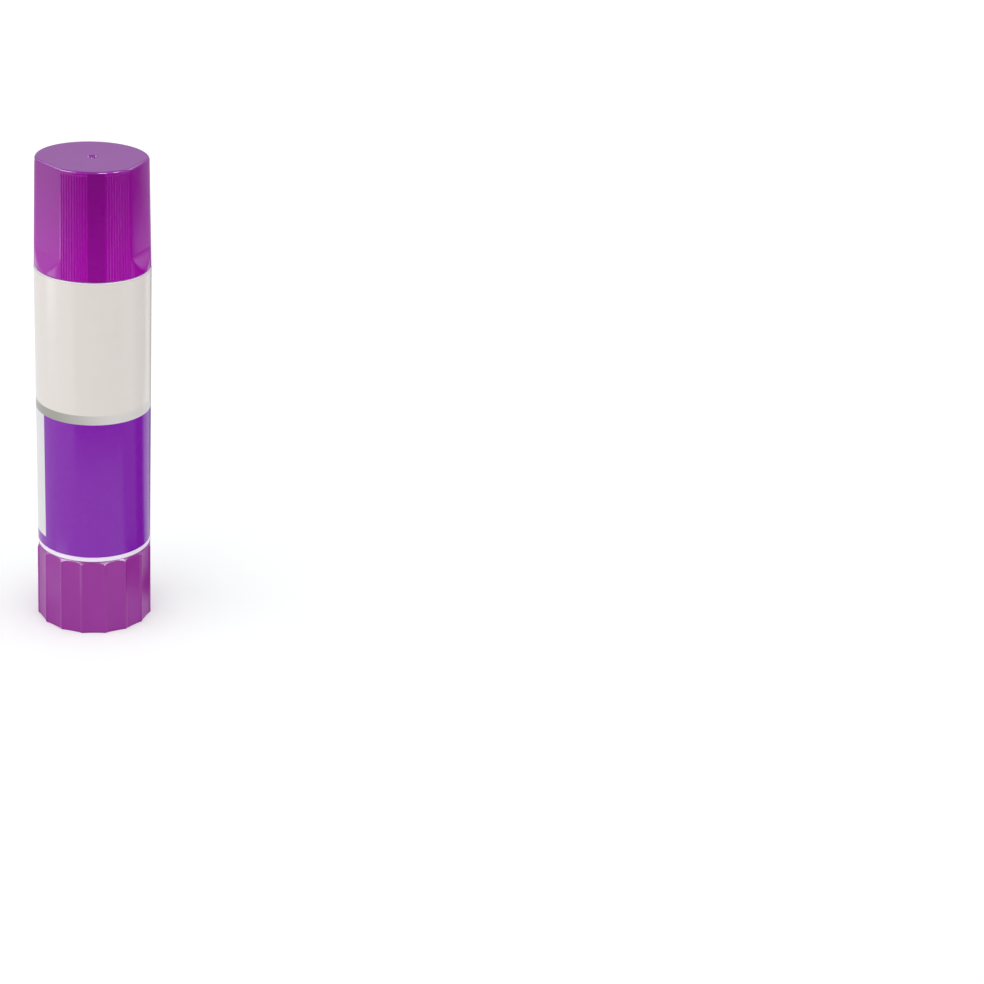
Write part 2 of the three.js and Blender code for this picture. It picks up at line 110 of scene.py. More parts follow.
# Knob
KNOB_SIDES = 16
KNOB_PHASE = 8.6
KNOB_TOP_RADIUS = LABEL_RADIUS + 0.12
KNOB_BOTTOM_RADIUS = KNOB_TOP_RADIUS + 0.12
KNOB_FLUTE = 0.08
KNOB_RIDGE = 0.13
KNOB_RIDGE_FOOT = 0.5
KNOB_RIDGE_SPAN = 1.3
KNOB_BLANK_SPARE = 1.5
KNOB_SHOULDER = 0.9
KNOB_SHOULDER_RADIUS = LABEL_RADIUS - 0.3
KNOB_SHOULDER_SLOPE = 0.86
KNOB_SCALLOP = 0.5
KNOB_SCALLOP_RADIUS = KNOB_BOTTOM_RADIUS - 0.19
KNOB_CORNER = 0.03
KNOB_EDGE = 0.15
KNOB_RIM_WIDTH = 2.32
KNOB_FOOT_DEPTH = 0.6
KNOB_FOOT_EDGE = 0.2
KNOB_RIM_EDGE = 0.15
KNOB_NUB_TIP = 0.12
KNOB_NUB_STEP = 0.1
KNOB_BASE_TOP = 2.2
KNOB_RUNNING = 0.25
HUB_RADIUS = 3.4
SOCKET_BOTTOM = 1.6

# Barrel
RING_HEIGHT = 0.82
RING_EDGE = 0.08
SPIGOT_EDGE = 0.3
SHOULDER_EDGE = 0.12
NECK_FOOT_EDGE = 0.1
BEAD_HEIGHT = 1.4
BEAD_STANDING = 0.1
BEAD_FROM_SHOULDER = 2.6
BEAD_FOOT_EDGE = 0.3
BEAD_EDGE = 0.4
NECK_LIP = 0.3
BORE_EDGE = 0.15
FLOOR_THICKNESS = 1.5
RIB_COUNT = 4
RIB_PHASE = 45
RIB_HEIGHT = 0.6
RIB_HALF = 0.45
RIB_SIDE = 0.25
RIB_EASE = 0.12

# Label
FILM = 0.06
FILM_GAP = 0.04
FILM_OVERLAP = 14
FILM_RAMP = 4
FILM_LIFT = 0.07
SILVER_BOTTOM = 40.45
SILVER_TOP = 42.1
PANEL_BOTTOM = 17.05
PANEL_FROM = -150
PANEL_TO = -59.9
PRINT_EDGE = 0.05
PANEL_SOFT = 0.3
# Azimuths over which the silver line's painted reflection turns from grey to pale
SILVER_SHEEN_PAINTED_FROM = -50
SILVER_SHEEN_PAINTED_TO = 25
WARM_COLOURS = ((0.745, 0.695, 0.625, 1), (0.765, 0.72, 0.655, 1))
VIOLET_COLOURS = ((0.2, 0.003, 0.36, 1), (0.225, 0.005, 0.4, 1))
# The silver line's painted shade and painted sheen, grey and pale
SILVER_PAINTED_SHADE_AND_SHEEN = ((0.34, 0.33, 0.28, 1), (0.68, 0.65, 0.61, 1))
PANEL_COLOUR = (0.72, 0.715, 0.70, 1)

# Spindle, carrier and glue
LEAD = 4
ROD_RADIUS = 1.75
THREAD_RADIUS = 2.35
THREAD_HALF_ROOT = 1
THREAD_HALF_CREST = 0.7
THREAD_AXIAL = 0.35
THREAD_RADIAL = 0.3
THREAD_MARGIN = 0.25
THREAD_START = 0.4
THREAD_FADE = 1.2
JOURNAL_RADIUS = 2.3
JOURNAL_STEP = 0.1
FLANGE_RADIUS = 3.9
FLANGE_THICKNESS = 1
FLANGE_GAP = 0.1
TAIL_RADIUS = 1.9
TAIL_SIDES = 6
ROD_TIP = 0.5
CARRIER_SKIRT = 12
SKIRT_WALL = 1.1
CARRIER_EDGE = 0.15
CUP_WALL = 1
CUP_FLOOR = 1.2
CUP_EDGE = 0.4
BOSS_RADIUS = 3.8
BOSS_SETBACK = 0.5
NUT_LENGTH = 7
NUT_CREST_EASE = 0.3
NUT_FADE = 0.5
GLUE_BORE = 0.35
GLUE_EDGE = 0.5
GLUE_FOOT_EDGE = 0.1
GLUE_DISH_RADIUS = 3.2
GLUE_DISH = 0.12
GLUE_DISH_EDGE = 0.6
GLUE_MIDDLE = 0.05

# Moulded plastic: sizes of its marks and heights in millimetres, the part of a noise that shows as
# marks, and how much each mark tints the colour or adds to the roughness
FLOW_SIZE = 5
SCUFF_SIZE = 0.5
SCUFF_PART = (0.6, 0.75)
SCUFF_ROUGHNESS = 0.06
FLECK_SIZE = 0.8
FLECK_PART = (0.8, 0.83)
FLECK_COLOUR = (0.8, 0.72, 0.8, 1)
FLECK_TINT = 0.15
FLECK_ROUGHNESS = 0.1
WEAR_SIZE = 2.2
WEAR_ROUGHNESS = 0.1
PEEL_SIZE = 0.4
PEEL_HEIGHT = 0.0008
RIPPLE_SIZE = 3.2

# Printed film, in the same way
DRIFT_SIZE = 0.12
MOTTLE_SIZE = 1.6
MOTTLE_ROUGHNESS = 0.08
FILM_ROUGHNESS = 0.2
SILVER_ROUGHNESS = 0.12
WAVE_SIZE = 5.5
WAVE_HEIGHT = 0.02
FILM_PEEL_SIZE = 0.5

# Glue, in the same way, with its colour from deep to pale
GEL_COLOURS = ((0.17, 0.035, 0.34, 1), (0.24, 0.06, 0.44, 1))
GEL_ROUGHNESS = 0.38
GEL_GRAIN_SIZE = 0.3
GEL_GRAIN_HEIGHT = 0.002
STREAK_SIZE = 1.5
STREAK_ROUGHNESS = 0.14
STREAK_HEIGHT = 0.02
PIT_SIZE = 0.9
PIT_PART = (0.68, 0.8)
PIT_DEPTH = 0.02

# Counts of steps round and along the skins, two lengths of a step in millimetres, and the angle
# in degrees from which an edge is sharp
TUBE_SIDES = 288
CARRIER_SIDES = 144
ROD_SIDES = 72
THREAD_STEPS = 28
NUT_STEPS = 56
FILM_STEPS = 480
CAP_GROOVE_STEPS = 10
CAP_STRIP_STEPS = 12
CAP_PANEL_STEPS = 44
KNOB_RIDGE_STEPS = 7
KNOB_SIDE_STEPS = 8
KNOB_SCALLOP_STEPS = 6
KNOB_SHOULDER_STEPS = 14
CAP_TOP_STEP = 0.06
CAP_RUNOUT_STEP = 0.12
SHARP_ANGLE = 40

# Heights that follow
ring_bottom = high["knob"] + GAP
body_top = low["cap"] - CAP_BARREL_GAP
floor_bottom = low["barrel"]
floor_top = floor_bottom + FLOOR_THICKNESS
flange_bottom = floor_top + FLANGE_GAP
flange_top = flange_bottom + FLANGE_THICKNESS
cup_floor_bottom = low["carrier"] + CARRIER_SKIRT
cup_floor_top = cup_floor_bottom + CUP_FLOOR
nut_bottom = low["carrier"] + BOSS_SETBACK
rod_top = high["spindle"] - ROD_TIP
thread_slope = (THREAD_HALF_ROOT - THREAD_HALF_CREST) / (THREAD_RADIUS - ROD_RADIUS)
thread_end = rod_top - THREAD_HALF_ROOT - thread_slope * THREAD_MARGIN
groove_radius = BORE_RADIUS - RIB_HEIGHT - GAP


def ease(share):
    """Rises smoothly from 0 to 1 as share does."""
    share = min(1, max(0, share))
    return share * share * (3 - 2 * share)


def cos(degrees):
    return math.cos(math.radians(degrees))


def sin(degrees):
    return math.sin(math.radians(degrees))


def outward(azimuth, elevation):
    """The direction from the stick's middle to an azimuth and an elevation."""
    return Vector((sin(azimuth) * cos(elevation), -cos(azimuth) * cos(elevation), sin(elevation)))


def off_axis(azimuth, centre, period):
    """How far an azimuth is from the nearest of several centres, a period apart."""
    return (azimuth - centre + period / 2) % period - period / 2


def rounded(corners, steps=6, hold=0.12):
    """A profile of (radius, height) points through corners, each (radius, height, fillet).

    A pair of holding points beside each fillet keeps the long walls flat in their shading.
    """
    points = []
    for i, (radius, height, fillet) in enumerate(corners):
        here = Vector((radius, height))
        if not fillet:
            points.append((radius, height))
            continue
        before = Vector(corners[i - 1][:2]) - here
        after = Vector(corners[(i + 1) % len(corners)][:2]) - here
        half = before.angle(after) / 2
        reach = fillet / math.tan(half)
        start = before.normalized() * reach
        end = after.normalized() * reach
        middle = (start + end).normalized() * (fillet / math.sin(half))
        arms = (start - middle, end - middle)
        turn = arms[0].angle(arms[1])
        if before.length > reach + 3 * hold:
            points.append(tuple(here + before.normalized() * (reach + hold)))
        for k in range(steps + 1):
            share = k / steps
            along = arms[0] * math.sin((1 - share) * turn) + arms[1] * math.sin(share * turn)
            points.append(tuple(here + middle + along / math.sin(turn)))
        if after.length > reach + 3 * hold:
            points.append(tuple(here + after.normalized() * (reach + hold)))
    return points


def lesser(first, second, softness):
    """The lesser of two lengths, rounded where they meet."""
    return (first + second) / 2 - math.hypot((first - second) / 2, softness)


def plain(radius, azimuth, height):
    return radius


def ring(radius, height, azimuths, outline=plain):
    """One ring of points; a radius of 0 gives a single point on the axis."""
    if radius == 0:
        return [(0, 0, height)]
    reaches = [outline(radius, a, height) for a in azimuths]
    return [(r * sin(a), -r * cos(a), height) for r, a in zip(reaches, azimuths)]


def evenly(count):
    return [360 * i / count for i in range(count)]


def skin(name, rings, ends="poles"):
    """Faces between each ring of points and the next.

    The ends are poles of one point each, faces, or a loop, where the last ring joins the first.
    """
    bm = bmesh.new()
    rows = [[bm.verts.new([c * MM for c in point]) for point in points] for points in rings]
    pairs = list(zip(rows, rows[1:]))
    if ends == "loop":
        pairs.append((rows[-1], rows[0]))
    for lower, upper in pairs:
        count = max(len(lower), len(upper))
        for i in range(count):
            j = (i + 1) % count
            corners = [lower[i % len(lower)], lower[j % len(lower)]]
            corners += [upper[j % len(upper)], upper[i % len(upper)]]
            bm.faces.new(dict.fromkeys(corners))
    if ends == "faces":
        bm.faces.new(rows[0])
        bm.faces.new(rows[-1])
    bmesh.ops.recalc_face_normals(bm, faces=bm.faces)
    mesh = bpy.data.meshes.new(name)
    bm.to_mesh(mesh)
    bm.free()
    mesh.shade_smooth()
    mesh.set_sharp_from_angle(angle=math.radians(SHARP_ANGLE))
    piece = bpy.data.objects.new(name, mesh)
    bpy.context.scene.collection.objects.link(piece)
    return piece


def dress(piece, node, finish, body):
    """Gives a piece its finish and body, in place of its solid."""
    piece.data.materials.append(finish)
    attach(piece, body)
    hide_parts(node)


# Finishes


class Term:
    """An output of a finish's nodes. Sums written on it become Math nodes."""

    def __init__(self, nodes, socket):
        self.nodes = nodes
        self.socket = socket

    def math(self, operation, *terms):
        return self.nodes.add("ShaderNodeMath", {"operation": operation}, dict(enumerate(terms)))

    def __add__(self, other):
        return self.math("ADD", self, other)

    def __radd__(self, other):
        return self.math("ADD", other, self)

    def __sub__(self, other):
        return self.math("SUBTRACT", self, other)

    def __rsub__(self, other):
        return self.math("SUBTRACT", other, self)

    def __mul__(self, other):
        return self.math("MULTIPLY", self, other)

    def __rmul__(self, other):
        return self.math("MULTIPLY", other, self)


class Nodes:
    """The nodes of a material or of the world."""

    def __init__(self, tree):
        self.tree = tree
        tree.nodes.clear()

    def add(self, kind, settings=None, inputs=None, output=0):
        """Adds a node: its settings first, then the values or links of its sockets."""
        node = self.tree.nodes.new(kind)
        for name, value in (settings or {}).items():
            setattr(node, name, value)
        for name, value in (inputs or {}).items():
            if isinstance(value, Term):
                self.tree.links.new(value.socket, node.inputs[name])
            else:
                node.inputs[name].default_value = value
        return Term(self, node.outputs[output]) if node.outputs else None

    def mix(self, share, first, second):
        """A colour between two, by a share from 0 to 1."""
        inputs = {0: share, 6: first, 7: second}
        return self.add("ShaderNodeMix", {"data_type": "RGBA"}, inputs, 2)

    def rise(self, term, start, end):
        """From 0 at start to 1 at end, smoothly."""
        settings = {"interpolation_type": "SMOOTHSTEP"}
        return self.add("ShaderNodeMapRange", settings, {0: term, 1: start, 2: end})


class Finish(Nodes):
    """A material on a Principled shader, with places in millimetres on the stick at rest."""

    def __init__(self, name, **constants):
        self.material = bpy.data.materials.new(name)
        self.material.use_nodes = True
        super().__init__(self.material.node_tree)
        self.shader = self.tree.nodes.new("ShaderNodeBsdfPrincipled")
        self.add("ShaderNodeOutputMaterial", inputs={0: Term(self, self.shader.outputs[0])})
        for socket, value in constants.items():
            self.shader.inputs[socket.replace("_", " ")].default_value = value
        rest = self.add("ShaderNodeTexCoord", output="Object")
        scale = {"operation": "SCALE"}
        self.place = self.add("ShaderNodeVectorMath", scale, {0: rest, "Scale": 1 / MM})
        parts = [self.add("ShaderNodeSeparateXYZ", inputs={0: self.place}, output=k) for k in range(3)]
        self.x, self.y, self.z = parts

    def feed(self, **terms):
        for socket, term in terms.items():
            self.tree.links.new(term.socket, self.shader.inputs[socket.replace("_", " ")])
        return self

    def azimuth(self):
        """Degrees from the front, from -180 to 180."""
        return self.x.math("ARCTAN2", self.x, 0 - self.y) * math.degrees(1)

    def noise(self, size, detail=2, stretch=1):
        """Noise with features of a size in millimetres, stretched so many times along the stick."""
        grain = (1 / size, 1 / size, 1 / (size * stretch))
        where = self.add("ShaderNodeVectorMath", {"operation": "MULTIPLY"}, {0: self.place, 1: grain})
        return self.add("ShaderNodeTexNoise", inputs={"Vector": where, "Scale": 1, "Detail": detail})

    def relief(self, height):
        """A surface raised by a height in millimetres."""
        bump = self.add("ShaderNodeBump", inputs={"Strength": 1, "Distance": MM, "Height": height})
        return self.feed(Normal=bump)


def moulded(name, deep, pale, roughness, ripple, paint_light_and_shade=None, **constants):
    """Moulded plastic: faint flow marks, a soft ripple that the gloss shows, and a few scuffs.

    The painted light and shade, where given, is a function of the finish and its colour that returns
    the colour with light and shade painted in.
    """
    finish = Finish(name, IOR=1.49, **constants)
    flow = finish.noise(FLOW_SIZE, detail=4, stretch=3)
    scuffs = finish.rise(finish.noise(SCUFF_SIZE, detail=3, stretch=2), *SCUFF_PART)
    flecks = finish.rise(finish.noise(FLECK_SIZE, detail=1), *FLECK_PART)
    colour = finish.mix(flow, deep, pale)
    if paint_light_and_shade:
        colour = paint_light_and_shade(finish, colour)
    colour = finish.mix(flecks * FLECK_TINT, colour, FLECK_COLOUR)
    worn = roughness + (finish.noise(WEAR_SIZE, detail=3) - 0.5) * WEAR_ROUGHNESS
    worn = worn + scuffs * SCUFF_ROUGHNESS + flecks * FLECK_ROUGHNESS
    peel = finish.noise(PEEL_SIZE, detail=1) * PEEL_HEIGHT
    soft = finish.noise(RIPPLE_SIZE, detail=1, stretch=2) * ripple
    finish.feed(Base_Color=colour, Roughness=worn)
    return finish.relief(peel + soft).material


def cap_painted_light_and_shade(finish, colour):
    """Painted light and shade on the cap: shaded smooth strips, lit flats, a cool-lit end face and a
    darker closed end.
    """
    period = 360 / CAP_ARCS
    turned = finish.azimuth() - (CAP_ARC_CENTRE - period / 2)
    off = turned.math("ABSOLUTE", turned.math("FLOORED_MODULO", turned, period) - period / 2)
    # Painted shade: the smooth strips are coloured deeper, standing in for their darker gloss.
    strips = 1 - finish.rise(off, CAP_SMOOTH_HALF - CAP_TINT_SOFT, CAP_SMOOTH_HALF + CAP_TINT_SOFT)
    # Painted light: the flats get a colour set to the light that falls on them.
    flats = finish.rise(off, CAP_ARC_HALF - CAP_TINT_SOFT, CAP_ARC_HALF + CAP_TINT_SOFT)
    # Painted cool light from above on the end face.
    end = finish.rise(finish.z, high["cap"] - CAP_EDGE, high["cap"] - CAP_EDGE / 2)
    # The cap darkens towards its closed end.
    depth = finish.rise(finish.z, low["cap"], high["cap"]) * CAP_END_SHADE
    colour = finish.mix(strips, finish.mix(flats, colour, CAP_FLAT_PAINTED_LIGHT_COLOUR), CAP_STRIP_PAINTED_SHADE_COLOUR)
    return finish.mix(depth, finish.mix(end, colour, CAP_END_PAINTED_COOL_LIGHT_COLOUR), BLACK)


def label_film():
    """Printed film: warm white over a silver line with a painted reflection, over violet, with a bare
    panel round its left.
    """
    finish = Finish("label_film", IOR=1.5)
    drift = (finish.noise(DRIFT_SIZE, detail=1) - 0.5) * PRINT_EDGE
    z = finish.z + drift
    azimuth = finish.azimuth()
    violet = 1 - finish.rise(z, SILVER_BOTTOM - PRINT_EDGE, SILVER_BOTTOM + PRINT_EDGE)
    silver = 1 - finish.rise(z, SILVER_TOP - PRINT_EDGE, SILVER_TOP + PRINT_EDGE) - violet
    left = finish.rise(azimuth, PANEL_FROM - PANEL_SOFT, PANEL_FROM + PANEL_SOFT)
    right = finish.rise(azimuth, PANEL_TO - PANEL_SOFT, PANEL_TO + PANEL_SOFT)
    above = finish.rise(z, PANEL_BOTTOM - PRINT_EDGE, PANEL_BOTTOM + PRINT_EDGE)
    panel = (left - right) * above * violet
    mottle = finish.noise(MOTTLE_SIZE, detail=4)
    warm = finish.mix(mottle, *WARM_COLOURS)
    ink = finish.mix(mottle, *VIOLET_COLOURS)
    # Painted reflection: the printed silver line is painted grey on the left and pale on the right,
    # standing in for its metal shine.
    lit = finish.rise(azimuth, SILVER_SHEEN_PAINTED_FROM, SILVER_SHEEN_PAINTED_TO)
    line = finish.mix(lit, *SILVER_PAINTED_SHADE_AND_SHEEN)
    colour = finish.mix(silver, warm, line)
    colour = finish.mix(violet, colour, ink)
    colour = finish.mix(panel, colour, PANEL_COLOUR)
    wave = finish.noise(WAVE_SIZE, detail=1, stretch=4) * WAVE_HEIGHT
    peel = finish.noise(FILM_PEEL_SIZE, detail=2) * PEEL_HEIGHT
    roughness = FILM_ROUGHNESS + silver * SILVER_ROUGHNESS + (mottle - 0.5) * MOTTLE_ROUGHNESS
    finish.feed(Base_Color=colour, Roughness=roughness)
    return finish.relief(wave + peel).material


def glue_gel():
    """Waxy violet adhesive, slightly see-through, with faint streaks from moulding."""
    finish = Finish("glue_gel", IOR=1.45, Subsurface_Weight=0.3, Subsurface_Scale=0.9 * MM)
    streaks = finish.noise(STREAK_SIZE, detail=4, stretch=8)
    colour = finish.mix(streaks, *GEL_COLOURS)
    pits = finish.rise(finish.noise(PIT_SIZE, detail=1), *PIT_PART)
    grain = finish.noise(GEL_GRAIN_SIZE) * GEL_GRAIN_HEIGHT
    finish.feed(Base_Color=colour, Roughness=GEL_ROUGHNESS + streaks * STREAK_ROUGHNESS)
    return finish.relief(streaks * STREAK_HEIGHT + grain - pits * PIT_DEPTH).material


# Pieces


def cap_outline(radius, azimuth, height):
    """On each arc a ribbed field, a smooth strip and a ribbed field, and between two arcs a panel.

    A panel is a flat that runs out to the round rim below. The panel at the back is left round.
    """
    period = 360 / CAP_ARCS
    pitch = (CAP_ARC_HALF - CAP_SMOOTH_HALF) / CAP_RIBS
    off = abs(off_axis(azimuth, CAP_ARC_CENTRE, period))
    groove = 0
    if CAP_SMOOTH_HALF < off < CAP_ARC_HALF:
        share = (off - CAP_SMOOTH_HALF) / pitch % 1
        groove = ease((share - CAP_GROOVE_MARGIN) / CAP_GROOVE_SIDE)
        groove *= ease((1 - CAP_GROOVE_MARGIN - share) / CAP_GROOVE_SIDE)
    faded = (height - (high["cap"] - CAP_RIBS_END)) / (CAP_RIBS_END - CAP_EDGE - CAP_RIBS_FROM_EDGE)
    fade = 1 - ease(faded)
    wall = radius - CAP_RIB_DEPTH * groove * fade
    if abs(off_axis(azimuth, CAP_ARC_CENTRE + 1.5 * period, 360)) < period / 2:
        return wall
    across = period / 2 - off
    half = period / 2 - CAP_ARC_HALF - CAP_GROOVE_MARGIN * pitch
    cut = lesser(1, (height - low["cap"] - CAP_RIM_BAND) / CAP_RUNOUT, CAP_RUNOUT_EASE)
    crown = CAP_FLAT_CROWN * max(0, cut) * (1 - (across / half) ** 2)
    face = radius * (1 - (1 - cos(half)) * cut) / cos(across) + crown
    return lesser(wall, face, CAP_CORNER)


def cap_azimuths():
    """Azimuths round the cap, close together on its ribs."""
    period = 360 / CAP_ARCS
    rib_steps = CAP_GROOVE_STEPS * CAP_RIBS
    found = []
    for arc in range(CAP_ARCS):
        start = CAP_ARC_CENTRE - CAP_ARC_HALF + arc * period
        spans = (
            (CAP_ARC_HALF - CAP_SMOOTH_HALF, rib_steps),
            (2 * CAP_SMOOTH_HALF, CAP_STRIP_STEPS),
            (CAP_ARC_HALF - CAP_SMOOTH_HALF, rib_steps),
            (period - 2 * CAP_ARC_HALF, CAP_PANEL_STEPS),
        )
        for span, steps in spans:
            found += [start + span * i / steps for i in range(steps)]
            start += span
    return found


def cut_up(profile, start, end, step):
    """A profile with points added, a step apart, where its side falls past start and end."""
    points = [profile[0]]
    count = round((start - end) / step)
    for (r0, z0), (r1, z1) in zip(profile, profile[1:]):
        if z0 > start and z1 < end:
            heights = [start + (end - start) * i / count for i in range(count + 1)]
            points += [(r0 + (r1 - r0) * (z - z0) / (z1 - z0), z) for z in heights]
        points.append((r1, z1))
    return points


def make_cap():
    azimuths = cap_azimuths()
    top, rim = high["cap"], low["cap"]
    seat = high["barrel"] + CAP_NECK_CLEARANCE
    chamber_top = top - CAP_WALL_TOP
    chamber = MOUTH_RADIUS - CAP_CHAMBER_SETBACK
    gate = top - CAP_DISH
    outside = rounded([
        (0, gate - GATE_DEPTH / 6, 0),
        (GATE_NUB, gate - GATE_DEPTH / 4, GATE_NUB_EDGE),
        (GATE_NUB + GATE_DEPTH / 3, gate - GATE_DEPTH, GATE_FOOT_EDGE),
        (GATE_RADIUS - GATE_DEPTH, gate - GATE_DEPTH, GATE_EDGE),
        (GATE_RADIUS, gate, GATE_EDGE),
        (CAP_RADIUS - CAP_DRAFT, top, CAP_EDGE),
        (CAP_RADIUS, rim, CAP_RIM_EDGE),
        (MOUTH_RADIUS, rim, 0),
    ])[:-1]
    outside = cut_up(outside, top - CAP_EDGE - CAP_RIBS_FROM_EDGE, top - CAP_RIBS_END, CAP_TOP_STEP)
    flats_from = rim + CAP_RIM_BAND + CAP_RUNOUT + CAP_RUNOUT_MARGIN
    outside = cut_up(outside, flats_from, rim + CAP_RIM_BAND / 2, CAP_RUNOUT_STEP)
    inside = rounded([
        (CAP_RADIUS, rim, 0),
        (MOUTH_RADIUS, rim, CAP_RIM_EDGE),
        (MOUTH_RADIUS, seat, 0),
        (chamber, seat + CAP_CHAMBER_STEP, 0),
        (chamber, chamber_top, CAP_CHAMBER_EDGE),
        (0, chamber_top, 0),
    ])[1:]
    rings = [ring(r, z, azimuths, cap_outline if r > 2 * GATE_RADIUS else plain) for r, z in outside]
    rings += [ring(r, z, azimuths) for r, z in inside]
    return skin("cap_shell", rings)


def knob_blank(height):
    """The round blank that the sides are cut from: a cone at the shoulder, and rounded at the rim."""
    shoulder = KNOB_SHOULDER_RADIUS + (high["knob"] - height) * KNOB_SHOULDER_SLOPE
    share = min(1, max(0, 1 - height / KNOB_SCALLOP))
    widest = KNOB_BOTTOM_RADIUS + KNOB_BLANK_SPARE * KNOB_RIDGE
    rim = widest - (widest - KNOB_SCALLOP_RADIUS) * (1 - math.sqrt(1 - share ** 2))
    return min(shoulder, rim)


def knob_outline(radius, azimuth, height):
    """Hollowed sides with a thin ridge at each corner, cut back above and below by the blank."""
    step = 360 / KNOB_SIDES
    off = off_axis(azimuth, KNOB_PHASE + step / 2, step)
    flat = radius * cos(step / 2)
    from_corner = radius * sin(step / 2) - flat * math.tan(math.radians(abs(off)))
    ridge = KNOB_RIDGE * (1 - ease(from_corner / KNOB_RIDGE_FOOT))
    flute = KNOB_FLUTE * (1 - (2 * off / step) ** 2)
    return lesser(flat / cos(off) - flute + ridge, knob_blank(height), KNOB_CORNER)


def knob_azimuths():
    """Azimuths round the knob, close together at its ridges."""
    step = 360 / KNOB_SIDES
    foot = KNOB_RIDGE_SPAN * math.degrees(KNOB_RIDGE_FOOT / KNOB_TOP_RADIUS)
    shares = [foot * i / KNOB_RIDGE_STEPS for i in range(1 - KNOB_RIDGE_STEPS, KNOB_RIDGE_STEPS + 1)]
    across = step - 2 * foot
    shares += [foot + across * i / KNOB_SIDE_STEPS for i in range(1, KNOB_SIDE_STEPS)]
    return [KNOB_PHASE + side * step + share for side in range(KNOB_SIDES) for share in shares]


def tail_outline(radius, azimuth, height):
    """A hexagon, by the radius of its corners."""
    step = 360 / TAIL_SIDES
    return radius * cos(step / 2) / cos(off_axis(azimuth, step / 2, step))


def make_knob():
    azimuths = knob_azimuths()
    top = high["knob"]
    shoulder = top - KNOB_SHOULDER
    foot_radius = KNOB_BOTTOM_RADIUS - KNOB_RIM_WIDTH
    hub_top = floor_bottom - GAP
    well = SPIGOT_RADIUS + KNOB_RUNNING
    draft = (KNOB_BOTTOM_RADIUS - KNOB_TOP_RADIUS) / top

    underside = rounded([
        (0, KNOB_FOOT_DEPTH - KNOB_NUB_TIP, 0),
        (GATE_NUB, KNOB_FOOT_DEPTH - KNOB_NUB_STEP, GATE_FOOT_EDGE),
        (GATE_NUB + KNOB_NUB_STEP, KNOB_FOOT_DEPTH + KNOB_NUB_STEP, GATE_FOOT_EDGE),
        (GATE_RADIUS, KNOB_FOOT_DEPTH, GATE_EDGE),
        (foot_radius - KNOB_FOOT_DEPTH, KNOB_FOOT_DEPTH, KNOB_FOOT_EDGE),
        (foot_radius, 0, KNOB_RIM_EDGE),
        (KNOB_BOTTOM_RADIUS, 0, 0),
    ])[:-1]
    edge = rounded([
        (foot_radius, 0, 0),
        (KNOB_BOTTOM_RADIUS, 0, KNOB_EDGE),
        (KNOB_BOTTOM_RADIUS - draft * shoulder, shoulder, 0),
    ])[1:-1]
    steps = KNOB_SCALLOP_STEPS
    heights = [KNOB_SCALLOP * i / steps for i in range(steps // 2, steps + 3)]
    steps = KNOB_SHOULDER_STEPS
    heights += [shoulder + KNOB_SHOULDER * i / steps for i in range(-1, steps + 1)]
    side = [(KNOB_BOTTOM_RADIUS - draft * z, z) for z in heights]
    inside = [
        (well, top),
        (well, KNOB_BASE_TOP),
        (HUB_RADIUS, KNOB_BASE_TOP),
        (HUB_RADIUS, hub_top),
    ]
    socket = [(TAIL_RADIUS + GAP, hub_top), (TAIL_RADIUS + GAP, SOCKET_BOTTOM)]
    rings = [ring(r, z, azimuths) for r, z in underside]
    rings += [ring(r, z, azimuths, knob_outline) for r, z in edge + side]
    rings += [ring(r, z, azimuths) for r, z in inside]
    rings += [ring(r, z, azimuths, tail_outline) for r, z in socket]
    rings.append(ring(0, SOCKET_BOTTOM, azimuths))
    return skin("knob_grip", rings)


def guide_ribs(radius, azimuth, height):
    """The bore's wall with its guide ribs standing in."""
    off = off_axis(azimuth, RIB_PHASE, 360 / RIB_COUNT)
    across = abs(radius * sin(off))
    return radius - RIB_HEIGHT * ease((RIB_HALF + RIB_EASE - across) / (2 * RIB_EASE))


def rib_grooves(radius, azimuth, height):
    """A wall with grooves that clear the guide ribs."""
    off = off_axis(azimuth, RIB_PHASE, 360 / RIB_COUNT)
    across = abs(radius * sin(off))
    depth = ease((RIB_HALF + RIB_SIDE + RIB_EASE - across) / (2 * RIB_EASE))
    return radius - max(0, radius - groove_radius) * depth


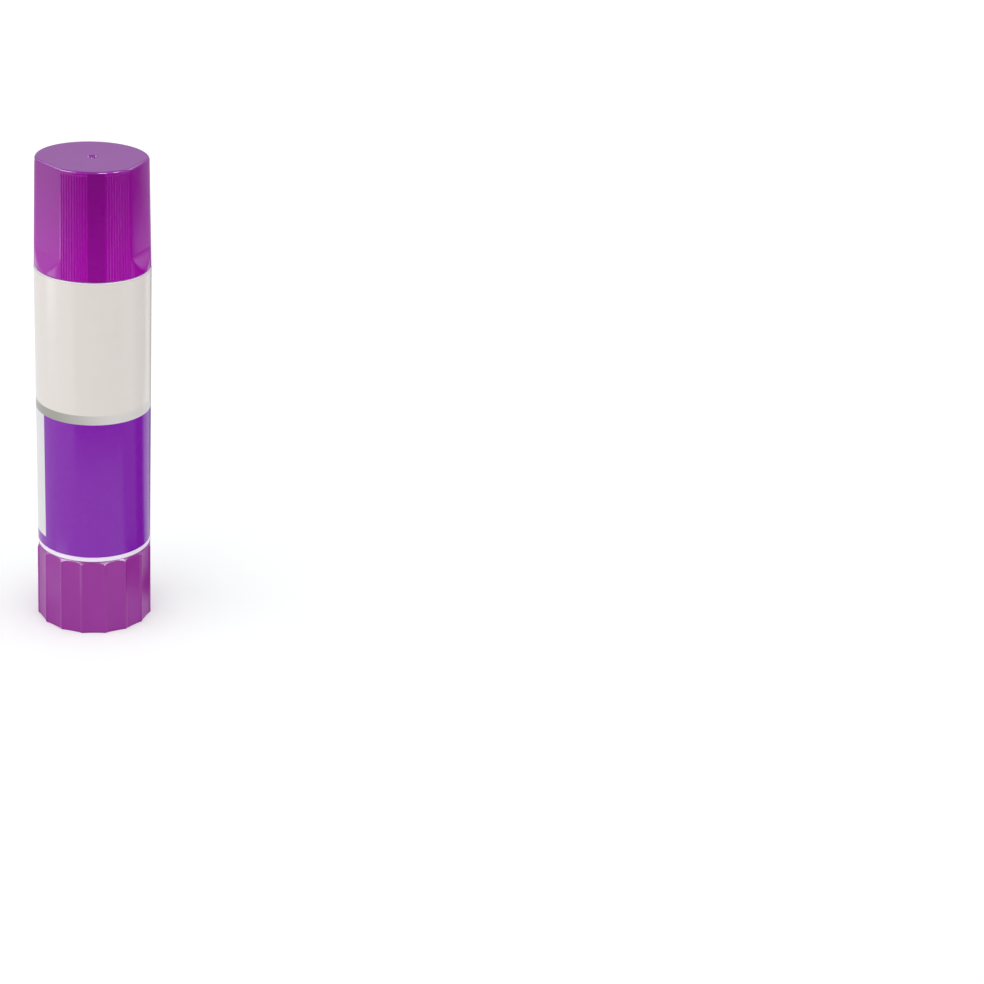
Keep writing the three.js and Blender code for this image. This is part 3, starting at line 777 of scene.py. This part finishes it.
def make_barrel():
    azimuths = evenly(TUBE_SIDES)
    body = LABEL_RADIUS - FILM - FILM_GAP
    neck_top = high["barrel"]
    bead = body_top + BEAD_FROM_SHOULDER
    journal_hole = JOURNAL_RADIUS + GAP
    outside = rounded([
        (journal_hole, floor_bottom, 0),
        (SPIGOT_RADIUS, floor_bottom, SPIGOT_EDGE),
        (SPIGOT_RADIUS, ring_bottom, 0),
        (LABEL_RADIUS, ring_bottom, RING_EDGE),
        (LABEL_RADIUS, ring_bottom + RING_HEIGHT, RING_EDGE),
        (body, ring_bottom + RING_HEIGHT, 0),
        (body, body_top, SHOULDER_EDGE),
        (NECK_RADIUS, body_top, NECK_FOOT_EDGE),
        (NECK_RADIUS, bead, BEAD_FOOT_EDGE),
        (NECK_RADIUS + BEAD_STANDING, bead + BEAD_HEIGHT / 3, BEAD_EDGE),
        (NECK_RADIUS + BEAD_STANDING, bead + 2 * BEAD_HEIGHT / 3, BEAD_EDGE),
        (NECK_RADIUS, bead + BEAD_HEIGHT, BEAD_FOOT_EDGE),
        (NECK_RADIUS, neck_top, NECK_LIP),
        (BORE_RADIUS, neck_top, 0),
    ])[:-1]
    bore = rounded([
        (NECK_RADIUS, neck_top, 0),
        (BORE_RADIUS, neck_top, BORE_EDGE),
        (BORE_RADIUS, neck_top - NECK_LIP, 0),
    ])[1:-1]
    rings = [ring(r, z, azimuths) for r, z in outside + bore]
    rings.append(ring(BORE_RADIUS, neck_top - 2 * NECK_LIP, azimuths, guide_ribs))
    rings.append(ring(BORE_RADIUS, floor_top, azimuths, guide_ribs))
    rings.append(ring(journal_hole, floor_top, azimuths))
    return skin("barrel_tube", rings, "loop")


def film_radius(azimuth):
    """The film's inner radius: it climbs over its own start just before the overlap."""
    return LABEL_RADIUS - FILM + FILM_LIFT * ease((azimuth - 180 + FILM_RAMP) / FILM_RAMP)


def make_label():
    bottom, top = low["label"], high["label"]
    rings = []
    for i in range(FILM_STEPS + 1):
        azimuth = -180 + (360 + FILM_OVERLAP) * i / FILM_STEPS
        inner = film_radius(azimuth)
        corners = ((inner, bottom), (inner + FILM, bottom), (inner + FILM, top), (inner, top))
        rings.append([(r * sin(azimuth), -r * cos(azimuth), z) for r, z in corners])
    return skin("label_wrap", rings, "faces")


def make_glue():
    azimuths = evenly(TUBE_SIDES)
    top = high["glue"]
    cup = GLUE_RADIUS - CUP_WALL - GAP
    bore = THREAD_RADIUS + GLUE_BORE
    bore_top = high["spindle"] + ROD_TIP + GAP
    inside = [(0, bore_top), (bore, bore_top), (bore, low["glue"]), (cup, low["glue"])]
    inside.append((cup, high["carrier"] + GAP))
    outside = rounded([
        (cup, high["carrier"] + GAP, 0),
        (GLUE_RADIUS, high["carrier"] + GAP, GLUE_FOOT_EDGE),
        (GLUE_RADIUS, top, GLUE_EDGE),
        (GLUE_DISH_RADIUS, top - GLUE_DISH, GLUE_DISH_EDGE),
        (0, top - GLUE_MIDDLE, 0),
    ])[1:]
    rings = [ring(r, z, azimuths) for r, z in inside]
    rings += [ring(r, z, azimuths, rib_grooves) for r, z in outside]
    return skin("glue_column", rings)


def thread_outline(radius, azimuth, height):
    """The rod with its left-hand thread, which fades out at both ends."""
    turn = (thread_end - height) / LEAD - azimuth / 360
    along = abs(off_axis(turn, 0, 1)) * LEAD
    rise = ease((THREAD_HALF_ROOT - along) / (THREAD_HALF_ROOT - THREAD_HALF_CREST))
    ends = ease((thread_end - height) / THREAD_FADE)
    ends *= ease((height - flange_top - THREAD_START) / THREAD_FADE)
    return radius + (THREAD_RADIUS - ROD_RADIUS) * rise * ends


def make_spindle():
    azimuths = evenly(ROD_SIDES)
    tail_bottom = low["spindle"]
    journal_bottom = floor_bottom - GAP + JOURNAL_STEP
    tail = [(TAIL_RADIUS, tail_bottom), (TAIL_RADIUS, journal_bottom)]
    turned = [
        (JOURNAL_RADIUS, journal_bottom),
        (JOURNAL_RADIUS, flange_bottom),
        (FLANGE_RADIUS, flange_bottom),
        (FLANGE_RADIUS, flange_top),
    ]
    steps = round((rod_top - flange_top) / LEAD * THREAD_STEPS)
    rod = [flange_top + (rod_top - flange_top) * i / steps for i in range(steps + 1)]
    rings = [ring(0, tail_bottom, azimuths)]
    rings += [ring(r, z, azimuths, tail_outline) for r, z in tail]
    rings += [ring(r, z, azimuths) for r, z in turned]
    rings += [ring(ROD_RADIUS, z, azimuths, thread_outline) for z in rod]
    rings.append(ring(ROD_RADIUS - ROD_TIP, high["spindle"], azimuths))
    rings.append(ring(0, high["spindle"], azimuths))
    return skin("lift_screw", rings)


def nut_outline(radius, azimuth, height):
    """The nut's bore, with the ridge that runs between two turns of the spindle's thread."""
    turn = (thread_end - height) / LEAD - azimuth / 360
    along = abs(off_axis(turn, 0.5, 1)) * LEAD
    crest_half = LEAD / 2 - THREAD_AXIAL - THREAD_HALF_ROOT
    rise = ease((crest_half + NUT_CREST_EASE - along) / NUT_CREST_EASE)
    nut_top = nut_bottom + NUT_LENGTH
    ends = ease((height - nut_bottom) / NUT_FADE) * ease((nut_top - height) / NUT_FADE)
    return radius - (THREAD_RADIUS - ROD_RADIUS) * rise * ends


def make_carrier():
    azimuths = evenly(CARRIER_SIDES)
    bottom, rim = low["carrier"], high["carrier"]
    cup = GLUE_RADIUS - CUP_WALL
    nut_bore = THREAD_RADIUS + THREAD_RADIAL
    skirt = GLUE_RADIUS - SKIRT_WALL
    outside = rounded([
        (skirt, bottom, 0),
        (GLUE_RADIUS, bottom, CARRIER_EDGE),
        (GLUE_RADIUS, rim, CARRIER_EDGE),
        (cup, rim, 0),
    ])[1:-1]
    bowl = rounded([
        (GLUE_RADIUS, rim, 0),
        (cup, rim, CARRIER_EDGE),
        (cup, cup_floor_top, CUP_EDGE),
        (nut_bore, cup_floor_top, 0),
    ])[1:]
    nut_top = nut_bottom + NUT_LENGTH
    heights = [nut_top - NUT_LENGTH * i / NUT_STEPS for i in range(NUT_STEPS + 1)]
    boss = [(BOSS_RADIUS, nut_bottom), (BOSS_RADIUS, cup_floor_bottom), (skirt, cup_floor_bottom)]
    rings = [ring(r, z, azimuths, rib_grooves) for r, z in outside]
    rings += [ring(r, z, azimuths) for r, z in bowl]
    rings += [ring(nut_bore, z, azimuths, nut_outline) for z in heights]
    rings += [ring(r, z, azimuths) for r, z in boss + [(skirt, bottom)]]
    return skin("glue_carrier", rings, "loop")


# Studio

# The middle of the stick, half the floor's width in metres, and the whites of floor and dome
STICK_MIDDLE = Vector((0, 0, 42 * MM))
FLOOR_HALF = 4
FLOOR_WHITE = 0.93
FLOOR_SEEN = (1, 1, 0.95, 1)
FLOOR_LIFT = (0.06, 0.08, 0.06, 1)
FLOOR_GRAIN = 0.01
FLOOR_GRAIN_SIZE = 30
WORLD_LIGHT = 0.82
WORLD_GLOSS = 0.62
WORLD_SIDE_GLOSS = 0.4
WORLD_SIDES = (0.3, 0.9)
WORLD_TOP = (0.3, 1)
ZENITH = (0.93, 0.95, 1.08, 1)

# Lamps, as (name, azimuth, elevation, spread in degrees, strength): soft ones that only light the
# stick, and small bright ones that only its gloss shows
SOFT_LAMPS = (
    ("key_lamp", -62, 42, 70, 0.6),
    ("fill_lamp", 60, 50, 70, 0.36),
)
GLINT_LAMPS = (
    ("left_glint", -62, 38, 34, 4),
    ("front_glint", 23, 42, 14, 2.2),
    ("right_glint", 57, 42, 14, 2.2),
    ("left_side_glint", -113, 38, 34, 1.6),
    ("right_side_glint", 124, 38, 34, 1),
)

# Dark cloths on the floor that only gloss sees, as (from, to) in degrees, (start, full, end) in
# millimetres from the stick and a strength. CLOTH_EDGE is how soft their sides are, in degrees,
# and CLOTH_FADE how many times further out their far edges are gone.
DARK_CLOTHS = (
    (-38, 55, 74, 111, 1200, 1),
    (55, 86, 26, 39, 1200, 0.6),
    (62, 92, 18, 27, 36, 1),
    (86, 112, 12, 18, 1200, 1),
    (108, 122, 100, 140, 330, 1),
    (122, 130, 190, 215, 330, 0.55),
    (122, 126, 250, 276, 330, 0.45),
    (108, 132, 330, 396, 1200, 0.65),
    (144, 172, 14, 21, 1200, 0.8),
)
CLOTH_EDGE = 2
CLOTH_FADE = 1.2
CLOTH_COLOUR = (0.02, 0.02, 0.02, 1)

# Bright boards lying among them, as (from, to) in degrees, (start, end) in millimetres and a glow.
# BOARD_EDGE is how soft their sides are, in degrees, and BOARD_SOFT their near edges, at most, in
# millimetres.
BOARDS = (
    (-80, -46, 12, 40, (1.7, 1.7, 1.8, 1)),
    (-102, -74, 150, 275, (2.8, 2.8, 2.9, 1)),
)
BOARD_EDGE = 8
BOARD_SOFT = 28

# Half the sheet's width and its height over the floor, in metres
CLOTH_HALF = 1.5
CLOTH_HEIGHT = 0.0003

# The camera, worked out from the photograph: lengths in mm, angles in degrees, places in shares
# of the picture's width from its middle, to the right and up
LENS = 77.1
SENSOR = 36
CAMERA_DISTANCE = 369.7
CAMERA_AZIMUTH = -10.28
CAMERA_ELEVATION = 24.56
CAMERA_ROLL = 3.38
CAMERA_SHIFT = 0.1
MIDDLE_ACROSS = -0.4049
MIDDLE_UP = 0.0985
CAMERA_NEAR = 0.01


def sheet(name, half, height, material):
    """A square sheet that lies flat, in metres."""
    mesh = bpy.data.meshes.new(name)
    corners = [(x * half, y * half, height) for x, y in ((-1, -1), (1, -1), (1, 1), (-1, 1))]
    mesh.from_pydata(corners, [], [(0, 1, 2, 3)])
    mesh.materials.append(material)
    lying = bpy.data.objects.new(name, mesh)
    bpy.context.scene.collection.objects.link(lying)
    return lying


def make_floor():
    """A matt white floor, pure white where the picture shows it lit."""
    finish = Finish("pale_floor", Roughness=1, Specular_IOR_Level=0, Emission_Strength=1)
    seen = finish.add("ShaderNodeLightPath", output="Is Camera Ray")
    whites = [(white, white, white, 1) for white in (FLOOR_WHITE, FLOOR_WHITE + FLOOR_GRAIN)]
    grain = finish.mix(finish.noise(FLOOR_GRAIN_SIZE), *whites)
    finish.feed(
        Base_Color=finish.mix(seen, grain, FLOOR_SEEN),
        Emission_Color=finish.mix(seen, BLACK, FLOOR_LIFT),
    )
    sheet("floor", FLOOR_HALF, 0, finish.material)


def make_cloths():
    """Dark cloths deepen the gloss of the stick's front and right, and boards brighten its left."""
    finish = Finish("cloth", Base_Color=CLOTH_COLOUR, Roughness=1, Specular_IOR_Level=0)
    finish.shader.inputs["Emission Strength"].default_value = 1
    azimuth = finish.azimuth()
    reach = finish.add("ShaderNodeVectorMath", {"operation": "LENGTH"}, {0: finish.place}, "Value")
    shade = reach * 0
    for start, end, near, full, far, strength in DARK_CLOTHS:
        across = finish.rise(azimuth, start - CLOTH_EDGE, start + CLOTH_EDGE)
        across -= finish.rise(azimuth, end - CLOTH_EDGE, end + CLOTH_EDGE)
        along = finish.rise(reach, near, full) - finish.rise(reach, far, CLOTH_FADE * far)
        shade += across * along * strength
    light = BLACK
    for start, end, near, far, glow in BOARDS:
        board = finish.rise(azimuth, start - BOARD_EDGE, start + BOARD_EDGE)
        board -= finish.rise(azimuth, end - BOARD_EDGE, end + BOARD_EDGE)
        full = near + min(near, BOARD_SOFT)
        board *= finish.rise(reach, near, full) - finish.rise(reach, far, CLOTH_FADE * far)
        light = finish.mix(board, light, glow)
        shade += board
    finish.feed(Alpha=shade.math("MINIMUM", shade, 1), Emission_Color=light)
    cloth = sheet("cloths", CLOTH_HALF, CLOTH_HEIGHT, finish.material)
    cloth.visible_camera = False
    cloth.visible_diffuse = False
    cloth.visible_shadow = False
    cloth.visible_transmission = False


def make_world():
    """A white dome, weaker as a light and in gloss than in the picture.

    It is a little cool overhead, and brighter at its sides in gloss.
    """
    world = bpy.data.worlds.new("white_dome")
    world.use_nodes = True
    bpy.context.scene.world = world
    dome = Nodes(world.node_tree)
    camera, glossy, through = [
        dome.add("ShaderNodeLightPath", output=f"Is {kind} Ray")
        for kind in ("Camera", "Glossy", "Transmission")
    ]
    towards = dome.add("ShaderNodeTexCoord", output="Generated")
    height = dome.add("ShaderNodeSeparateXYZ", inputs={0: towards}, output=2)
    across = dome.add("ShaderNodeSeparateXYZ", inputs={0: towards}, output=0)
    side = dome.rise(across.math("ABSOLUTE", across), *WORLD_SIDES)
    gloss = WORLD_GLOSS + side * WORLD_SIDE_GLOSS - WORLD_LIGHT
    light = dome.add("ShaderNodeBackground", inputs={
        "Color": dome.mix(dome.rise(height, *WORLD_TOP), WHITE, ZENITH),
        "Strength": WORLD_LIGHT + (camera + through) * (1 - WORLD_LIGHT) + glossy * gloss,
    })
    dome.add("ShaderNodeOutputWorld", inputs={"Surface": light})


def make_lamps():
    for name, azimuth, elevation, spread, strength in SOFT_LAMPS + GLINT_LAMPS:
        light = bpy.data.lights.new(name, "SUN")
        light.energy = strength
        light.angle = math.radians(spread)
        lamp = bpy.data.objects.new(name, light)
        to_lamp = outward(azimuth, elevation)
        lamp.rotation_euler = to_lamp.to_track_quat("Z", "Y").to_euler()
        lamp.location = STICK_MIDDLE + to_lamp
        lamp.visible_diffuse = not name.endswith("glint")
        lamp.visible_glossy = name.endswith("glint")
        bpy.context.scene.collection.objects.link(lamp)


def make_camera():
    """The camera of the photograph, by where the middle of the stick falls in the picture."""
    back = outward(CAMERA_AZIMUTH, CAMERA_ELEVATION)
    level = Vector((cos(CAMERA_AZIMUTH), sin(CAMERA_AZIMUTH), 0))
    upright = back.cross(level)
    right = level * cos(CAMERA_ROLL) + upright * sin(CAMERA_ROLL)
    up = upright * cos(CAMERA_ROLL) - level * sin(CAMERA_ROLL)
    per_width = CAMERA_DISTANCE * SENSOR / LENS
    across = (MIDDLE_ACROSS + CAMERA_SHIFT) * per_width
    above = MIDDLE_UP * per_width
    place = STICK_MIDDLE + (back * CAMERA_DISTANCE - right * across - up * above) * MM
    data = bpy.data.cameras.new("photo_camera")
    data.lens = LENS
    data.sensor_width = SENSOR
    data.shift_x = CAMERA_SHIFT
    data.clip_start = CAMERA_NEAR
    camera = bpy.data.objects.new("photo_camera", data)
    turn = Matrix((right, up, back)).transposed().to_4x4()
    camera.matrix_world = Matrix.Translation(place) @ turn
    bpy.context.scene.collection.objects.link(camera)
    bpy.context.scene.camera = camera
    bpy.context.scene.view_settings.view_transform = "Standard"


# The stick

# The cap's colour, lifted above its own as painted light that offsets the shade in its ribs' grooves.
cap_plastic = moulded(
    "cap_plastic",
    deep=(0.38, 0.001, 0.365, 1),
    pale=(0.405, 0.001, 0.39, 1),
    roughness=0.13,
    ripple=0.008,
    paint_light_and_shade=cap_painted_light_and_shade,
)
knob_plastic = moulded(
    "knob_plastic",
    deep=(0.275, 0.011, 0.265, 1),
    pale=(0.305, 0.016, 0.3, 1),
    roughness=0.3,
    ripple=0.012,
)
white_plastic = moulded(
    "white_plastic",
    deep=(0.85, 0.765, 0.865, 1),
    pale=(0.88, 0.8, 0.895, 1),
    roughness=0.3,
    ripple=0.006,
)
inner_plastic = moulded(
    "inner_plastic",
    deep=(0.82, 0.80, 0.84, 1),
    pale=(0.86, 0.845, 0.87, 1),
    roughness=0.45,
    ripple=0.008,
)

dress(make_cap(), "cap", cap_plastic, "cap")
dress(make_knob(), "knob", knob_plastic, "knob")
dress(make_barrel(), "barrel", white_plastic, "barrel")
dress(make_label(), "label", label_film(), "barrel")
dress(make_glue(), "glue", glue_gel(), "carrier")
dress(make_carrier(), "carrier", inner_plastic, "carrier")
dress(make_spindle(), "spindle", inner_plastic, "knob")

make_floor()
make_cloths()
make_world()
make_lamps()
make_camera()
